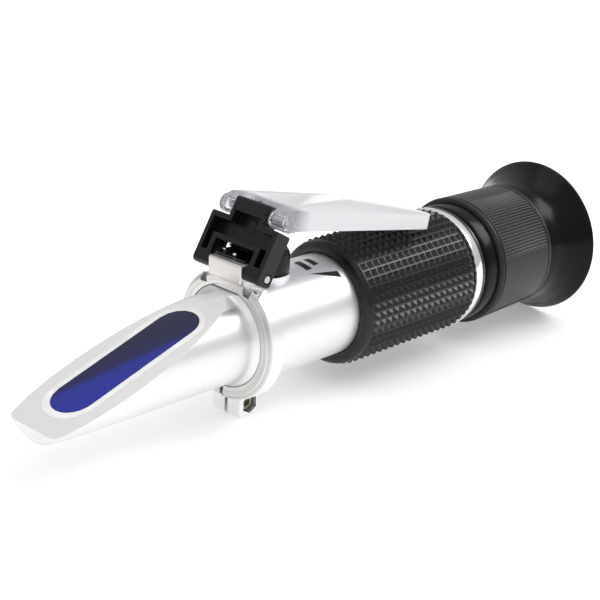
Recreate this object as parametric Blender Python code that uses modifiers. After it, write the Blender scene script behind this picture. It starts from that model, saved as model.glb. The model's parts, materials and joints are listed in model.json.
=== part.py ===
"""Hand refractometer with a flip-up daylight plate, for reading the sugar in must, wort or juice.

The optical axis runs along +X, from the prism nose to the eyecup, and +Z is up. Stations along the axis
are measured from the rear face of the clamp collar and radii from the optical axis. Every size below is
in millimetres and is turned into metres where the geometry is made.
"""

import math

import bmesh
import bpy
from mathutils import Matrix, Vector

MM = 0.001
WELD = 1e-5                      # merge distance in metres, far below the smallest feature
GAP = 0.3                        # clearance between neighbouring pieces
TAU = 2 * math.pi

# Where the collar's rear face and the optical axis stand in the part's own frame
DATUM_X = -26.25
AXIS_HEIGHT = 20.0

# Nose with its slanted prism face
NOSE_TIP_X = -56.8
NOSE_RADIUS = 10.44
NOSE_TIP_RADIUS = 9.98
CONE_START_X = -6.0
CONE_END_X = -4.1
CONE_END_RADIUS = 11.72
SPIGOT_RADIUS = 10.1
SPIGOT_END_X = 6.0
SLANT = math.atan(0.32664)       # rise of the prism face towards the eyepiece
SLANT_FOOT = (-56.2, -6.23)      # a point (x, z) on the prism face
SPIGOT_BORE = 8.7
LIGHT_BORE_RADIUS = 6.5
LIGHT_BORE_START = -25.0

# Prism window: a stadium on the slanted face
WINDOW_HALF_WIDTH = 5.2
WINDOW_FRONT_X = -45.7           # arc centres, by their stations
WINDOW_REAR_X = -18.4
PRISM_DEPTH = 4.4
PRISM_PROUD = 0.15
BEAD_WIDTH = 1.2
BEAD_TIP_WIDTH = 1.6
BEAD_DEPTH = 1.0

# Main tube
TUBE_RADIUS = 12.16
TUBE_NECK_RADIUS = 11.7          # where the clamp collar grips it
TUBE_BORE = 10.4
TUBE_FRONT_X = -3.8
TUBE_REAR_X = 68.9

# Clamp collar
COLLAR_FRONT_X = -4.4
COLLAR_RADIUS = 15.0
COLLAR_BORE = 12.0
COLLAR_CHAMFER = (0.8, 1.1)      # along the axis and across it
BLOCK_X = (-4.7, 2.6)
BLOCK_HALF_WIDTH = 5.2
BLOCK_TOP = 17.8
LUG_X = (-2.7, 3.1)
LUG_HALF_WIDTH = 4.7
LUG_BOTTOM = -19.3
SPLIT_WIDTH = 1.0
CLAMP_SCREW_XZ = (0.2, -16.2)
SCREW_SHANK = 1.0
SCREW_HEAD = 1.9                 # from the axis to the corners of its hexagon
SCREW_SOCKET = 1.15
SCREW_POCKET = 2.3
RIVET_SPOTS = ((-1.9, -0.5), (-0.9, 3.8))
RIVET_SHANK = 0.4
RIVET_HEAD = 0.62
LEAF_X = (-2.9, 2.1)
LEAF_HALF_WIDTH = 4.7
LEAF_THICKNESS = 0.35

# Hinge of the frame and of the daylight plate
PIN_XZ = (-1.4, 15.5)
PIN_RADIUS = 0.85
FRAME_LEAN = math.radians(30.34)  # the open frame leans back this far from upright
FRAME_REACH = 13.0               # from the hinge pin to the plate's axle
RIM_OFFSET = 2.85                # from the pin's axis forward to the frame's open rim
RIM_CLEARANCE = 0.37             # left under the rim of the closed frame
FRAME_CLOSED_TURN = math.radians(140.14)
PLATE_DROOP = math.radians(12.0)  # the open plate slopes down this far towards the grip
AXLE_RADIUS = 0.6

# Hinge frame, in its own axes: x backward, y along the pin, z up the frame
FRAME_HALF_WIDTH = 10.35
FRAME_BACK = 1.35
FRAME_FOOT = -1.9
FOOT_SWEEP = 3.3                 # the turning feet stay inside this radius about the pin
FRAME_SHOULDER = 10.3
TOWER_HALF_WIDTH = 5.05
TOWER_TOP = 15.2
TOWER_BACK_RADIUS = 2.2
WINDOW_TOP = 4.6
LEG_INNER = 6.1
FOOT_INNER = 5.5
RIB_OUTER = 7.4
RIB_TOP = 5.7
POCKET_SIDE = 9.25
POCKET_TOP = 9.1
POCKET_DEPTH = 2.9
LEG_POCKET_FOOT = 1.45
TOWER_POCKET_HALF = 4.0
TOWER_POCKET_TOP = 11.8
MOULD_BUTTON = (1.6, 0.15)       # radius, and height over the pocket's floor

# Daylight plate, in its own axes: x along the plate, z out of the face that meets the prism
PLATE_LENGTH = 49.5
PLATE_HALF_WIDTH = 10.2
PLATE_CONTACT = 2.8
PLATE_BACK_NEAR = -1.7
PLATE_BACK_FAR = -0.735
PLATE_CORNER = 2.5
KNUCKLE_RADIUS = 2.15
NOTCH_REACH = 3.8

# Calibration boss, screw and cap on top of the tube
CALIBRATION_X = 8.8
BOSS_RADIUS = 5.2
BOSS_TOP = 12.4
CAP_RADIUS = 5.0
CAP_BOTTOM = 12.7
CAP_TOP = 19.4

# Grip, end ring and eyepiece
GRIP_FRONT_X = 27.3
GRIP_REAR_X = 66.2
GRIP_RADIUS = 15.3
KNURL_FRONT_X = 29.6
END_RING_X = (66.5, 69.2)
BASE_X = (69.5, 75.2)
SLEEVE_END_X = 87.0
SLEEVE_RADIUS = 12.9
CARRIER_BORE = 11.2
FOCUS_X = (75.5, 96.97)
FOCUS_FRONT_RADIUS = 16.25
FOCUS_REAR_RADIUS = 15.73
EYECUP_END_X = 109.3
EYECUP_RADIUS = 20.0
KEY_X = 80.0
SEAL_X = 84.0


def clear_scene():
    """Remove every object, so that the model starts from nothing."""
    for old in list(bpy.data.objects):
        bpy.data.objects.remove(old, do_unlink=True)


def new_collection(name):
    """A fresh collection linked to the scene."""
    collection = bpy.data.collections.new(name)
    bpy.context.scene.collection.children.link(collection)
    return collection


clear_scene()
PARTS = new_collection("hand_refractometer")
CUTTERS = new_collection("cutters")


def make_material(name, color, roughness, metallic=0.0, transmission=0.0):
    """A Principled material; clear ones let light through."""
    material = bpy.data.materials.new(name)
    material.use_nodes = True
    shader = material.node_tree.nodes["Principled BSDF"]
    shader.inputs["Base Color"].default_value = (*color, 1.0)
    shader.inputs["Roughness"].default_value = roughness
    shader.inputs["Metallic"].default_value = metallic
    shader.inputs["Transmission Weight"].default_value = transmission
    material.diffuse_color = (*color, 1.0)
    return material


def satin_aluminium(name, shade=0.82, roughness=0.3):
    """Bright machined aluminium."""
    return make_material(name, (shade, shade, shade), roughness, metallic=1.0)


def black_rubber(name, shade=0.02, roughness=0.55):
    """Black rubber or plastic, glossier as the roughness drops."""
    return make_material(name, (shade, shade, shade * 1.1), roughness)


def clear_glass(name, tint=(0.95, 0.97, 1.0)):
    """Optical glass or clear acrylic."""
    return make_material(name, tint, 0.03, transmission=1.0)


def empty_at(name, location, parent=None, tilt=0.0):
    """An empty that carries pieces; location is in millimetres under its parent, tilt turns it about Y."""
    holder = bpy.data.objects.new(name, None)
    holder.empty_display_size = 5 * MM
    holder.location = Vector(location) * MM
    holder.rotation_euler = (0.0, tilt, 0.0)
    holder.parent = parent
    PARTS.objects.link(holder)
    return holder


def add_object(name, mesh, parent, material=None):
    """Link a mesh as a named part, or as a hidden cutter when it has no material."""
    item = bpy.data.objects.new(name, mesh)
    item.parent = parent
    if material is None:
        item.hide_render = True
        item.display_type = 'WIRE'
        CUTTERS.objects.link(item)
    else:
        mesh.materials.append(material)
        PARTS.objects.link(item)
    return item


def mesh_from(name, build, smooth=False):
    """Fill a new mesh by calling build on a bmesh in millimetres, then scale it to metres."""
    form = bmesh.new()
    build(form)
    bmesh.ops.scale(form, vec=(MM, MM, MM), verts=form.verts)
    mesh = bpy.data.meshes.new(name)
    form.to_mesh(mesh)
    form.free()
    if smooth:
        mesh.shade_smooth()
        mesh.set_sharp_from_angle(angle=math.radians(35))
    return mesh


def box(name, xs, ys, zs, parent, material=None, rounding=0.0):
    """A rectangular block between three pairs of limits, with rounded edges if asked."""
    limits = (xs, ys, zs)
    size = Vector([pair[1] - pair[0] for pair in limits])
    middle = Vector([(pair[1] + pair[0]) / 2 for pair in limits])

    def build(form):
        place = Matrix.Translation(middle) @ Matrix.Diagonal((*size, 1.0))
        bmesh.ops.create_cube(form, size=1.0, matrix=place)
        if rounding:
            bmesh.ops.bevel(form, geom=form.edges[:], offset=rounding, segments=3, profile=0.5,
                            affect='EDGES', clamp_overlap=True)

    return add_object(name, mesh_from(name, build), parent, material)


AXIS_TURN = {
    'X': Matrix.Rotation(math.pi / 2, 4, 'Y'),
    'Y': Matrix.Rotation(-math.pi / 2, 4, 'X'),
    'Z': Matrix.Identity(4),
}


def rod(name, axis, span, radius, centre, parent, material=None, sides=32, end_radius=None):
    """A cylinder or cone along one axis; centre holds its other two coordinates in X, Y, Z order."""
    along = 'XYZ'.index(axis)
    middle = list(centre)
    middle.insert(along, (span[0] + span[1]) / 2)
    top = radius if end_radius is None else end_radius

    def build(form):
        place = Matrix.Translation(middle) @ AXIS_TURN[axis]
        bmesh.ops.create_cone(form, cap_ends=True, segments=sides, radius1=radius, radius2=top,
                              depth=span[1] - span[0], matrix=place)

    return add_object(name, mesh_from(name, build, smooth=True), parent, material)


def signed_area(points):
    """Twice the signed area of a polygon given as (x, y) pairs; positive is anticlockwise."""
    wrapped = points[1:] + points[:1]
    return sum(a[0] * b[1] - b[0] * a[1] for a, b in zip(points, wrapped))


def turned(name, profile, parent, material=None, axis='X', steps=32):
    """Turn a profile of (station, radius) points about an axis with a Screw modifier.

    A profile that starts and ends on the axis makes a solid, any other closes on itself into a ring.
    """
    points = [(radius, station) for station, radius in profile]
    if signed_area(points) > 0:
        points.reverse()
    on_axis = [index for index, point in enumerate(points) if point[0] == 0]
    if on_axis:
        while not (points[0][0] == 0 and points[-1][0] == 0):
            points = points[1:] + points[:1]
    form = bmesh.new()
    corners = [form.verts.new((radius * MM, 0, station * MM)) for radius, station in points]
    for first, second in zip(corners, corners[1:]):
        form.edges.new((first, second))
    if not on_axis:
        form.edges.new((corners[-1], corners[0]))
    mesh = bpy.data.meshes.new(name)
    form.to_mesh(mesh)
    form.free()
    item = add_object(name, mesh, parent, material)
    item.rotation_euler = AXIS_TURN[axis].to_euler()
    screw = item.modifiers.new("turn", 'SCREW')
    screw.axis = 'Z'
    screw.angle = TAU
    screw.steps = steps
    screw.render_steps = steps
    screw.use_merge_vertices = True
    screw.merge_threshold = WELD
    screw.use_smooth_shade = True
    return item


def arc(centre, radius, start, end, count):
    """Points on an arc in degrees, both ends included."""
    turn = [math.radians(start + (end - start) * step / count) for step in range(count + 1)]
    return [(centre[0] + radius * math.cos(a), centre[1] + radius * math.sin(a)) for a in turn]


def slab(name, loops, thickness, parent, frame, material=None):
    """A flat outline, with any inner loops as holes, thickened evenly about its own plane.

    frame is the 4 by 4 matrix that takes the outline's plane to the parent's axes, in millimetres.
    """
    curve = bpy.data.curves.new(name, 'CURVE')
    curve.dimensions = '2D'
    curve.fill_mode = 'BOTH'
    curve.extrude = thickness / 2 * MM
    for loop in loops:
        spline = curve.splines.new('POLY')
        spline.points.add(len(loop) - 1)
        for point, (across, up) in zip(spline.points, loop):
            point.co = (across * MM, up * MM, 0, 1)
        spline.use_cyclic_u = True
    sketch = bpy.data.objects.new(name + "_sketch", curve)
    CUTTERS.objects.link(sketch)
    bpy.context.view_layer.update()
    evaluated = sketch.evaluated_get(bpy.context.evaluated_depsgraph_get())
    mesh = bpy.data.meshes.new_from_object(evaluated)
    bpy.data.objects.remove(sketch, do_unlink=True)
    form = bmesh.new()
    form.from_mesh(mesh)
    bmesh.ops.remove_doubles(form, verts=form.verts, dist=WELD)
    bmesh.ops.recalc_face_normals(form, faces=form.faces)
    form.to_mesh(mesh)
    form.free()
    mesh.name = name
    mesh.materials.clear()
    placed = frame.copy()
    placed.translation = placed.translation * MM
    mesh.transform(placed)
    return add_object(name, mesh, parent, material)


def combine(target, operation, *tools):
    """Add one Boolean modifier for each tool."""
    for tool in tools:
        step = target.modifiers.new(tool.name, 'BOOLEAN')
        step.operation = operation
        step.object = tool
        step.solver = 'EXACT'
    return target


def cut(target, *tools):
    """Take the tools away from the target."""
    return combine(target, 'DIFFERENCE', *tools)


def join(target, *tools):
    """Add the tools to the target."""
    return combine(target, 'UNION', *tools)


def stadium(half_width, front, rear, count=8):
    """A slot outline along x between two arc centres."""
    return arc((front, 0), half_width, 90, 270, count) + arc((rear, 0), half_width, -90, 90, count)


# The planes that flat outlines are drawn in, as matrices from the outline to its parent's axes
UP_THE_FRAME = Matrix(((0, 0, 1, 0), (1, 0, 0, 0), (0, 1, 0, 0), (0, 0, 0, 1)))
FROM_THE_SIDE = Matrix(((1, 0, 0, 0), (0, 0, -1, 0), (0, 1, 0, 0), (0, 0, 0, 1)))
FLAT = Matrix.Identity(4)


# ---------------------------------------------------------------- nose and prism

def slant_frame(depth=0.0):
    """The prism face's plane, lowered by depth: x up the slope, y across, z out of the face."""
    turn = Matrix.Rotation(-SLANT, 4, 'Y')
    foot = Vector((SLANT_FOOT[0], 0, SLANT_FOOT[1])) - turn.to_3x3() @ Vector((0, 0, depth))
    return Matrix.Translation(foot) @ turn


def up_slope(station):
    """Distance up the slope of a station on the prism face, from the face's foot point."""
    return (station - SLANT_FOOT[0]) / math.cos(SLANT)


def window_outline(grow, tip=0.0):
    """The prism window's stadium on the slanted face, grown by an offset and a little more at the tip."""
    return stadium(WINDOW_HALF_WIDTH + grow, up_slope(WINDOW_FRONT_X) - tip, up_slope(WINDOW_REAR_X))


def rim_relief(side, root):
    """What one side of the collar loses to let the closed hinge frame down: a foot seat and two slots.

    The outline lies just under the closed frame's rim: u runs back along the rim from below the pin.
    """
    lean = FRAME_LEAN - FRAME_CLOSED_TURN
    below = Matrix.Rotation(lean, 4, 'Y') @ Vector((-(RIM_OFFSET + RIM_CLEARANCE), 0, 0))
    place = Matrix.Translation(Vector((PIN_XZ[0], 0, PIN_XZ[1])) + below)
    turn = Matrix.Rotation(lean + math.pi / 2, 4, 'Y')
    height = 8.0
    front, seat, rear = -9.0, -2.0, 7.0
    inner, outer = BLOCK_HALF_WIDTH + 0.02, 12.0
    rib = (LEG_INNER - 0.35, RIB_OUTER + 0.35)
    wall = POCKET_SIDE - 0.35
    outline = [
        (rear, inner), (rear, outer), (front, outer), (front, wall), (seat, wall), (seat, rib[1]),
        (front, rib[1]), (front, rib[0]), (seat, rib[0]), (seat, inner),
    ]
    outline = [(u, side * y) for u, y in outline]
    lifted = place @ turn @ Matrix.Translation((0, 0, height / 2))
    return slab(f"cut_rim_relief_{side + 1}", [outline], height, root, lifted)


def prism_housing(root):
    """Turned nose, planed off at the slant, bored for the light and pocketed for the prism."""
    profile = [
        (SPIGOT_END_X, 0), (SPIGOT_END_X, SPIGOT_RADIUS), (CONE_END_X, SPIGOT_RADIUS),
        (CONE_END_X, CONE_END_RADIUS), (CONE_START_X, NOSE_RADIUS), (-45.0, 10.4),
        (-55.9, NOSE_TIP_RADIUS), (NOSE_TIP_X, 9.2), (NOSE_TIP_X, 0),
    ]
    nose = turned("prism_housing", profile, root, satin_aluminium("nose_aluminium"), steps=40)
    above = slab("cut_slant", [[(-8, -14), (56.5, -14), (56.5, 14), (-8, 14)]], 30, root, slant_frame(-15))
    pocket = slab("cut_prism_pocket", [window_outline(GAP)], 2 * (PRISM_DEPTH + GAP), root, slant_frame())
    tip = BEAD_TIP_WIDTH - BEAD_WIDTH
    groove = slab("cut_bead_groove", [window_outline(BEAD_WIDTH + GAP, tip)], 2 * (BEAD_DEPTH + GAP), root,
                  slant_frame())
    bore = rod("cut_light_bore", 'X', (LIGHT_BORE_START, SPIGOT_END_X + 1), LIGHT_BORE_RADIUS, (0, 0), root,
               sides=40)
    mouth = rod("cut_spigot_mouth", 'X', (-1, SPIGOT_END_X + 1), SPIGOT_BORE, (0, 0), root, sides=40)
    return cut(nose, above, pocket, groove, bore, mouth)


def measuring_prism(root):
    """Glass prism with its polished face a little proud of the nose."""
    thickness = PRISM_DEPTH + PRISM_PROUD
    frame = slant_frame((PRISM_DEPTH - PRISM_PROUD) / 2)
    return slab("measuring_prism", [window_outline(0)], thickness, root, frame,
                make_material("prism_glass", (0.03, 0.05, 0.25), 0.04))


def prism_cement(root):
    """White bead that seals the prism into the nose."""
    frame = slant_frame(BEAD_DEPTH / 2 - 0.1)
    loops = [window_outline(BEAD_WIDTH, BEAD_TIP_WIDTH - BEAD_WIDTH), window_outline(GAP)]
    return slab("prism_cement", loops, BEAD_DEPTH, root, frame, make_material("cement", (0.8, 0.8, 0.8), 0.5))


# ---------------------------------------------------------------- collar and tube

def clamp_collar(root):
    """Split collar with the hinge block on top and the clamping lug below."""
    front, rear = COLLAR_FRONT_X, 0.0
    deep, wide = COLLAR_CHAMFER
    profile = [
        (rear, COLLAR_BORE), (rear, COLLAR_RADIUS - 0.2), (rear - 0.2, COLLAR_RADIUS),
        (front + deep, COLLAR_RADIUS), (front, COLLAR_RADIUS - wide), (front, COLLAR_BORE),
    ]
    collar = turned("clamp_collar", profile, root, satin_aluminium("collar_aluminium", 0.8, 0.28), steps=48)
    sweeps = [rod(f"cut_foot_sweep_{tag}", 'Y', span, FOOT_SWEEP, PIN_XZ, root, sides=40)
              for tag, span in (("near", (-12, -FOOT_INNER + 0.25)), ("far", (FOOT_INNER - 0.25, 12)))]
    cut(collar, rim_relief(-1, root), rim_relief(1, root), *sweeps)
    block = box("add_block", BLOCK_X, (-BLOCK_HALF_WIDTH, BLOCK_HALF_WIDTH), (13.2, BLOCK_TOP), root,
                rounding=0.5)
    lug = box("add_lug", LUG_X, (-LUG_HALF_WIDTH, LUG_HALF_WIDTH), (LUG_BOTTOM, -13.2), root, rounding=0.7)
    join(collar, block, lug)
    split = box("cut_split", (-6, 4), (-SPLIT_WIDTH / 2, SPLIT_WIDTH / 2), (-21, -11), root)
    screw_hole = rod("cut_screw_hole", 'Y', (-6, 3.4), SCREW_SHANK + GAP, CLAMP_SCREW_XZ, root, sides=24)
    head_hole = rod("cut_head_pocket", 'Y', (-6, -1.7), SCREW_POCKET, CLAMP_SCREW_XZ, root, sides=6)
    pin_hole = rod("cut_block_pin", 'Y', (-7, 7), PIN_RADIUS + GAP, PIN_XZ, root, sides=24)
    rivets = [rod(f"cut_rivet_{index}", 'Z', (16.95, 19), RIVET_SHANK + GAP, spot, root, sides=16)
              for index, spot in enumerate(RIVET_SPOTS)]
    return cut(collar, split, screw_hole, head_hole, pin_hole, *rivets)


def clamp_screw(root):
    """Hexagon-head screw, with a socket in its head, that draws the lug together."""
    screw = rod("clamp_screw", 'Y', (-2.4, 3.1), SCREW_SHANK, CLAMP_SCREW_XZ, root,
                make_material("screw_steel", (0.06, 0.055, 0.045), 0.4, 1.0), sides=24)
    head = rod("add_screw_head", 'Y', (-3.5, -2.0), SCREW_HEAD, CLAMP_SCREW_XZ, root, sides=6)
    socket = rod("cut_socket", 'Y', (-5, -2.6), SCREW_SOCKET, CLAMP_SCREW_XZ, root, sides=6)
    return cut(join(screw, head), socket)


def leaf_parts(root):
    """Leaf spring that clicks the hinge frame open or shut, and its two rivets."""
    bottom = BLOCK_TOP + GAP
    top = bottom + LEAF_THICKNESS
    leaf = box("detent_spring", LEAF_X, (-LEAF_HALF_WIDTH, LEAF_HALF_WIDTH), (bottom, top), root,
               make_material("spring_steel", (0.05, 0.05, 0.055), 0.35, 1.0))
    for tag, (x, y) in zip(("front", "rear"), RIVET_SPOTS):
        cut(leaf, rod(f"cut_leaf_{tag}", 'Z', (17, 19), RIVET_SHANK + GAP, (x, y), root, sides=16))
        seat = top + GAP
        dome = [(seat + 0.35 * math.sin(a), RIVET_HEAD * math.cos(a)) for a in (0.0, 0.5, 1.0, math.pi / 2)]
        dome[-1] = (seat + 0.35, 0)
        profile = [(17.3, 0), (17.3, RIVET_SHANK), (seat, RIVET_SHANK)] + dome
        rivet = turned(f"spring_rivet_{tag}", profile, root, satin_aluminium(f"rivet_steel_{tag}", 0.9, 0.15),
                       axis='Z', steps=16)
        rivet.location = Vector((x, y, 0)) * MM


def hinge_pin(root):
    """Steel pin through the block and the frame's feet."""
    return rod("hinge_pin", 'Y', (-10.25, 10.25), PIN_RADIUS, PIN_XZ, root,
               satin_aluminium("pin_steel", 0.85, 0.15), sides=24)


def main_tube(root):
    """Body tube, necked for the collar, with the calibration boss on top."""
    profile = [
        (TUBE_REAR_X, TUBE_BORE), (TUBE_REAR_X, TUBE_RADIUS), (GAP, TUBE_RADIUS), (GAP, TUBE_NECK_RADIUS),
        (TUBE_FRONT_X, TUBE_NECK_RADIUS), (TUBE_FRONT_X, TUBE_BORE),
    ]
    tube = turned("main_tube", profile, root, satin_aluminium("tube_aluminium"), steps=40)
    boss = rod("add_boss", 'Z', (10.9, BOSS_TOP), BOSS_RADIUS, (CALIBRATION_X, 0), root, sides=40)
    hole = rod("cut_calibration_hole", 'Z', (5, 15), 1.6, (CALIBRATION_X, 0), root, sides=20)
    join(tube, boss)
    return cut(tube, hole)


def calibration_parts(root):
    """Slotted calibration screw and the rubber cap over it, each on its own axis."""
    spindle = empty_at("calibration_axis", (CALIBRATION_X, 0, 0), root)
    profile = [(8.3, 0), (8.3, 1.3), (12.7, 1.3), (12.7, 2.3), (14.1, 2.3), (14.3, 2.1), (14.3, 0)]
    screw = turned("calibration_screw", profile, spindle, brass("screw_brass"), axis='Z', steps=24)
    slot = box("cut_driver_slot", (-0.35, 0.35), (-4, 4), (13.4, 15), spindle)
    cut(screw, slot)
    shoulder = CAP_TOP - 3.4
    outside = [(CAP_BOTTOM, CAP_RADIUS - 0.2), (CAP_BOTTOM + 0.3, CAP_RADIUS)]
    outside += [(shoulder + 3.4 * math.sin(a), 1.2 + (CAP_RADIUS - 1.2) * math.cos(a))
                for a in (math.radians(18 * step) for step in range(6))]
    profile = outside + [(CAP_TOP, 0), (CAP_BOTTOM + 4.0, 0), (CAP_BOTTOM + 3.6, 2.6), (CAP_BOTTOM, 3.2)]
    turned("calibration_cap", profile, spindle, black_rubber("cap_rubber", 0.02, 0.3), axis='Z', steps=28)


def temperature_strip(root):
    """Bimetal strip from the nose's spigot to the calibration screw's tip."""
    return box("temperature_strip", (1.0, 10.6), (-2.2, 2.2), (7.5, 8.0), root,
               make_material("bimetal", (0.6, 0.5, 0.4), 0.3, 1.0))


# ---------------------------------------------------------------- optics inside the tube

def lens_profile(front, rear, edge_radius, bulge, count=3):
    """A lens that bulges by the same height at both faces."""
    steps = [step / count for step in range(count + 1)]
    ahead = [(front - bulge * (1 - t * t), edge_radius * t) for t in steps]
    behind = [(rear + bulge * (1 - t * t), edge_radius * t) for t in reversed(steps)]
    return ahead + behind


def ring(name, xs, bore, radius, parent, material):
    """A plain ring along the optical axis."""
    profile = [(xs[1], bore), (xs[1], radius), (xs[0], radius), (xs[0], bore)]
    return turned(name, profile, parent, material)


def blackened(name):
    """Aluminium blackened against stray light."""
    return make_material(name, (0.035, 0.035, 0.035), 0.5, metallic=0.8)


def brass(name):
    """Turned brass."""
    return make_material(name, (0.5, 0.38, 0.18), 0.32, metallic=1.0)


def seated_ring(name, start, length, parent, material):
    """A short cell for a glass disc: a bore with a lip at its front."""
    lip = start + 1.2
    end = start + length
    profile = [(end, 8.3), (end, SPIGOT_RADIUS), (start, SPIGOT_RADIUS), (start, 7.0), (lip, 7.0), (lip, 8.3)]
    return turned(name, profile, parent, material)


def tube_optics(root):
    """Objective, baffle and reticle, front to back."""
    seated_ring("objective_cell", 12.0, 6.0, root, blackened("cell_aluminium"))
    turned("objective_lens", lens_profile(14.4, 16.4, 8.0, 0.8), root, clear_glass("objective_glass"))
    ring("light_baffle", (32, 33), 5.2, SPIGOT_RADIUS, root, blackened("baffle_aluminium"))
    seated_ring("reticle_seat", 54.0, 6.0, root, blackened("seat_aluminium"))
    rod("reticle", 'X', (55.5, 57.0), 8.0, (0, 0), root, clear_glass("reticle_glass"), sides=48)
    ring("reticle_ring", (57.3, 59.3), 7.0, 8.0, root, brass("reticle_ring_brass"))


# ---------------------------------------------------------------- grip and eyepiece

def rubber_grip(root):
    """Rubber sleeve with a smooth rounded collar at its front."""
    bore = TUBE_RADIUS + GAP
    nose = arc((GRIP_FRONT_X + 1.5, 13.75), 1.5, 180, 90, 4)
    profile = [(GRIP_REAR_X, bore), (GRIP_REAR_X, GRIP_RADIUS), (KNURL_FRONT_X, GRIP_RADIUS)]
    profile += list(reversed(nose)) + [(GRIP_FRONT_X, bore)]
    return turned("rubber_grip", profile, root, black_rubber("grip_rubber"), steps=40)


def end_ring(root):
    """Bright tapered ring behind the grip."""
    front, rear = END_RING_X
    profile = [
        (rear, TUBE_RADIUS + GAP), (rear, 14.6), (rear - 0.3, 14.85), (front + 0.3, 15.35), (front, 15.15),
        (front, TUBE_RADIUS + GAP),
    ]
    return turned("end_ring", profile, root, satin_aluminium("ring_aluminium", 0.9, 0.12), steps=40)


def eyepiece_base(root):
    """Black base: a spigot in the tube, a stepped flange and the sleeve that guides the lens carrier."""
    front, rear = BASE_X
    profile = [
        (62.5, 8.7), (72.0, 8.7), (72.0, CARRIER_BORE), (SLEEVE_END_X, CARRIER_BORE),
        (SLEEVE_END_X, SLEEVE_RADIUS), (SEAL_X + 0.8, SLEEVE_RADIUS), (SEAL_X + 0.8, 12.3),
        (SEAL_X - 0.8, 12.3), (SEAL_X - 0.8, SLEEVE_RADIUS), (rear, SLEEVE_RADIUS), (rear, 15.1),
        (rear - 0.2, 15.3), (front + 2.7, 14.95), (front + 1.8, 14.9), (front + 1.5, 14.4),
        (front + 0.2, 14.3), (front, 14.1),
        (front, SPIGOT_RADIUS), (62.5, SPIGOT_RADIUS),
    ]
    base = turned("eyepiece_base", profile, root, black_rubber("base_plastic", 0.015, 0.15), steps=40)
    key_hole = rod("cut_key_hole", 'Z', (-14, -10), 0.8, (KEY_X, 0), root, sides=16)
    return cut(base, key_hole)


def focus_seal(root):
    """Greased ring between the sleeve and the focus ring, which gives the focus its drag."""
    section = arc((SEAL_X, 13.05), 0.45, 0, 315, 7)
    return turned("focus_seal", section, root, black_rubber("seal_rubber", 0.03, 0.4))


def guide_key(root):
    """Screw in the sleeve whose tip runs in the carrier's slot and stops it turning."""
    return rod("guide_key", 'Z', (-12.75, -9.85), 0.5, (KEY_X, 0), root,
               make_material("key_steel", (0.5, 0.5, 0.5), 0.3, 1.0), sides=16)


def lens_group(carrier_axis):
    """The carrier that slides in the sleeve, with the two lenses, their spacer and their rings."""
    outer = CARRIER_BORE - GAP
    profile = [
        (96.0, 9.5), (96.0, outer), (91.6, outer), (91.6, 12.6), (90.4, 12.6), (90.4, outer),
        (73.0, outer), (73.0, 8.3), (74.2, 8.3), (74.2, 9.5),
    ]
    carrier = turned("lens_carrier", profile, carrier_axis, blackened("carrier_aluminium"))
    slot = box("cut_carrier_slot", (KEY_X - 3.9, KEY_X + 0.9), (-0.85, 0.85), (-12, -9.0), carrier_axis)
    cut(carrier, slot)
    turned("field_lens", lens_profile(75.6, 77.0, 9.2, 1.0), carrier_axis, clear_glass("field_glass"))
    ring("lens_spacer", (78.4, 85.5), 8.0, 9.2, carrier_axis, blackened("spacer_aluminium"))
    turned("eye_lens", lens_profile(86.9, 88.5, 9.2, 1.0), carrier_axis, clear_glass("eye_glass"))
    ring("lens_retainer", (89.9, 91.9), 7.6, 9.2, carrier_axis, brass("retainer_brass"))
    ring("carrier_nut", (93.8, 95.6), outer + GAP, 12.6, carrier_axis, brass("nut_brass"))


def focus_parts(focus_axis):
    """Focus ring and the rubber eyecup pressed on its rear spigot."""
    front, rear = FOCUS_X
    inner = SLEEVE_RADIUS + 0.9
    profile = [
        (front, inner), (91.9, inner), (91.9, CARRIER_BORE), (93.5, CARRIER_BORE), (93.5, 13.0),
        (101.0, 13.0), (101.0, 14.2), (rear, 14.2), (rear, FOCUS_REAR_RADIUS - 0.4),
        (rear - 0.5, FOCUS_REAR_RADIUS), (front + 1.3, FOCUS_FRONT_RADIUS - 0.05),
        (front + 0.5, FOCUS_FRONT_RADIUS), (front, FOCUS_FRONT_RADIUS - 0.4),
    ]
    turned("focus_ring", profile, focus_axis, black_rubber("focus_plastic", 0.035, 0.4), steps=40)
    start = rear + GAP
    outside = [(start, 15.4), (98.6, 15.7), (101.0, 16.1), (103.5, 16.9), (106.0, 18.1), (108.3, 19.6),
               (108.9, 19.95), (EYECUP_END_X - 0.1, EYECUP_RADIUS)]
    inside = [(EYECUP_END_X, 19.7), (108.6, 19.0), (106.4, 16.9), (104.0, 15.5), (101.6, 14.8),
              (101.3, 14.5), (start, 14.5)]
    turned("eyecup", outside + inside, focus_axis, black_rubber("eyecup_rubber", 0.015, 0.2), steps=40)


# ---------------------------------------------------------------- hinge frame and daylight plate

def mirrored(points):
    """Complete a half outline on the +x side with its mirror image."""
    return points + [(-x, y) for x, y in reversed(points) if x != 0]


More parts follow.
